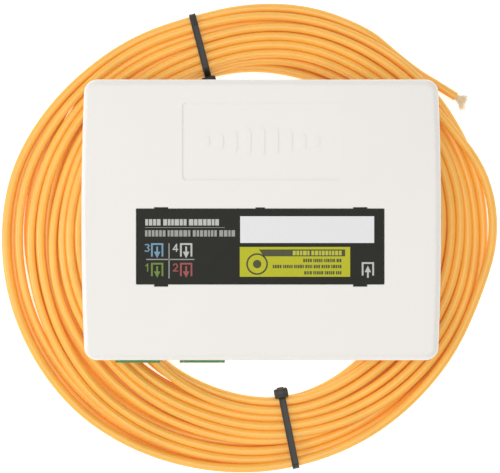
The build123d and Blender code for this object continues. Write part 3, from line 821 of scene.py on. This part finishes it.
def jacket(name, color, painted_light=(0, 0, 0)):
    """Extruded jacket: satin, with faint colour drift and a fine dragged skin. Its emission is
    painted
    light: it brightens the jacket all over, which shows most as lifted shade in a coil's deep gaps."""
    made, shader = new_material(name, color, 0.42)
    shader.inputs["Specular IOR Level"].default_value = 0.9
    # painted light: an emission that lifts the jacket's shade, most in the coil's deep gaps
    shader.inputs["Emission Color"].default_value = (*painted_light, 1)
    shader.inputs["Emission Strength"].default_value = 1.0
    drift = noise_of(made, 0.05, 3.0)
    spread_color(made, shader, drift, tinted(color, 0.95), tinted(color, 1.03))
    spread_roughness(made, shader, noise_of(made, 0.4, 4.0), 0.3, 0.42)
    bump(made, shader, noise_of(made, 1.6, 4.0), 0.02)
    return made


def metal(name, color, roughness):
    """Zinc-plated steel with a drawn grain."""
    made, shader = new_material(name, color, roughness, metallic=1.0)
    grain = noise_of(made, 2.0, 4.0, stretch=(0.15, 1, 1))
    spread_color(made, shader, grain, tinted(color, 0.85), color)
    spread_roughness(made, shader, grain, roughness - 0.1, roughness + 0.12)
    bump(made, shader, grain, 0.006)
    return made


def film(name, color, roughness, variation=0.05):
    """Printed polyester film: a faint orange-peel and a little dust in the ink."""
    made, shader = new_material(name, color, roughness)
    shader.inputs["Specular IOR Level"].default_value = 0.25
    dust = noise_of(made, 1.2, 5.0)
    spread_color(made, shader, dust, tinted(color, 1 - variation), tinted(color, 1 + variation))
    spread_roughness(made, shader, noise_of(made, 0.2, 3.0), roughness - 0.05, roughness + 0.06)
    bump(made, shader, noise_of(made, 1.5, 2.0), 0.006)
    return made


def ink(name, color):
    """Screen-printed ink: slightly uneven cover and a dull gloss."""
    made, shader = new_material(name, color, 0.5)
    spread_color(made, shader, noise_of(made, 2.5, 4.0), tinted(color, 0.9), tinted(color, 1.05))
    spread_roughness(made, shader, noise_of(made, 0.8, 3.0), 0.42, 0.6)
    return made


def glaze(name, color):
    """Ground and polished zirconia."""
    made, shader = new_material(name, color, 0.12, 2.1)
    spread_color(made, shader, noise_of(made, 0.8, 2.0), tinted(color, 0.97), color)
    spread_roughness(made, shader, noise_of(made, 2.0, 4.0), 0.08, 0.2)
    return made


def soft_rubber(name, color):
    """Matt rubber with a slightly uneven skin."""
    made, shader = new_material(name, color, 0.62)
    spread_color(made, shader, noise_of(made, 0.3, 3.0), tinted(color, 0.92), tinted(color, 1.04))
    bump(made, shader, noise_of(made, 2.5, 3.0), 0.015)
    return made


def thread(name, color):
    """Aramid yarn: silky, with darker and lighter threads, and brightened all over by a faint
    painted light from its emission.
    """
    made, shader = new_material(name, color, 0.5)
    shader.inputs["Sheen Weight"].default_value = 0.3
    # painted light: a faint emission in the yarn's own colour brightens it all over
    shader.inputs["Emission Color"].default_value = (*color, 1)
    shader.inputs["Emission Strength"].default_value = 0.12
    spread_color(made, shader, noise_of(made, 1.5, 3.0), tinted(color, 0.8), tinted(color, 1.15))
    return made


ORANGE = (0.93, 0.475, 0.045)
# painted light: the cable's emission, which lifts the shade in the coil's deep gaps
PAINTED_GAP_LIGHT = (0.08, 0.034, 0.018)
slot_materials = {
    "shell": moulded("shell_plastic", (0.86, 0.835, 0.795), 0.3, variation=0.012),
    "label": film("label_film", (0.0115, 0.0125, 0.0065), 0.5),
    "paper_white": film("writing_film", (0.815, 0.815, 0.825), 0.5, 0.01),
    "label_yellow": film("notice_film", (0.50, 0.50, 0.012), 0.42),
    "port_green": moulded("green_plastic", (0.06, 0.25, 0.055), 0.3, variation=0.1),
    "steel": metal("zinc_steel", (0.40, 0.40, 0.40), 0.35),
    "ceramic": glaze("zirconia", (0.88, 0.88, 0.85)),
    "boot": soft_rubber("boot_rubber", (0.78, 0.78, 0.76)),
    "inner_plastic": moulded("inner_plastic", (0.78, 0.765, 0.73), 0.45),
    "grommet": soft_rubber("grommet_rubber", (0.03, 0.03, 0.03)),
    "cable": jacket("orange_jacket", ORANGE, PAINTED_GAP_LIGHT),
    "yarn": thread("aramid", (0.86, 0.72, 0.50)),
    "tie": moulded("black_nylon", (0.028, 0.026, 0.021), 0.4, variation=0.15),
    "fibre_1": jacket("green_buffer", (0.12, 0.45, 0.10)),
    "fibre_2": jacket("red_buffer", (0.60, 0.06, 0.06)),
    "fibre_3": jacket("blue_buffer", (0.10, 0.30, 0.65)),
    "fibre_4": jacket("white_buffer", (0.82, 0.82, 0.82)),
}


def paint(piece, made):
    """Gives a piece this material and no other."""
    piece.data.materials.clear()
    piece.data.materials.append(made)


for row in record["subparts"]:
    paint(nodes[row["node"]], slot_materials[row["material_slot"]])
for piece, slot in [(cable, "cable"), (yarn, "yarn")] + [(tie, "tie") for tie in ties]:
    paint(piece, slot_materials[slot])
for name, piece in prints.items():
    paint(piece, ink(name + "_ink", PRINTS[name][1]))

# ---- floor and light ----
# From here on places and sizes are in metres.
FLOOR_SIZE = 6.0
FLOOR_DROP = 0.02 * MM
FLOOR_GLOW = 0.6
ROOM_LIGHT = 0.40
SIDE_WATTS = (0.8, 1.0, 1.6, 1.4)  # right, top, left, bottom
SIDE_REACH, SIDE_HEIGHT, SIDE_SIZE = 0.9, 0.45, (0.9, 0.4)
KEY_PLACE, KEY_SIZE, KEY_WATTS = (-0.12, -0.1, 1.5), (1.3, 1.3), 8.95
GLINT_PLACE, GLINT_SIZE, GLINT_WATTS = (-0.9, -0.075, 0.45), (0.17, 0.12), 1.3


def make_floor():
    """The pale ground that the coil lies on."""
    bpy.ops.mesh.primitive_plane_add(size=FLOOR_SIZE, location=(0, 0, GROUND_Z * MM - FLOOR_DROP))
    floor = bpy.context.object
    floor.name = "floor"
    made, shader = new_material("pale_floor", (0.9, 0.9, 0.9), 0.8)
    shader.inputs["Emission Color"].default_value = (1, 1, 1, 1)
    shader.inputs["Emission Strength"].default_value = FLOOR_GLOW
    paint(floor, made)


def area_light(name, place, size, watts):
    """A soft light that faces the box."""
    data = bpy.data.lights.new(name, "AREA")
    data.shape = "RECTANGLE"
    data.size, data.size_y = size
    data.energy = watts
    light = bpy.data.objects.new(name, data)
    light.location = place
    light.rotation_euler = (-Vector(place)).to_track_quat("-Z", "Y").to_euler()
    bpy.context.scene.collection.objects.link(light)


def make_light():
    """A pale room, a large light above, four lower ones round the box, and a small one
    that lights the cover's left edge."""
    world = bpy.data.worlds.new("studio")
    world.use_nodes = True
    world.node_tree.nodes["Background"].inputs["Color"].default_value = (1, 1, 1, 1)
    world.node_tree.nodes["Background"].inputs["Strength"].default_value = ROOM_LIGHT
    bpy.context.scene.world = world
    for i, watts in enumerate(SIDE_WATTS):
        turn = math.radians(90 * i)
        place = (SIDE_REACH * math.cos(turn), SIDE_REACH * math.sin(turn), SIDE_HEIGHT)
        area_light("side_" + str(i), place, SIDE_SIZE, watts)
    area_light("key", KEY_PLACE, KEY_SIZE, KEY_WATTS)
    area_light("glint", GLINT_PLACE, GLINT_SIZE, GLINT_WATTS)
    bpy.context.scene.view_settings.view_transform = "Standard"


make_floor()
make_light()
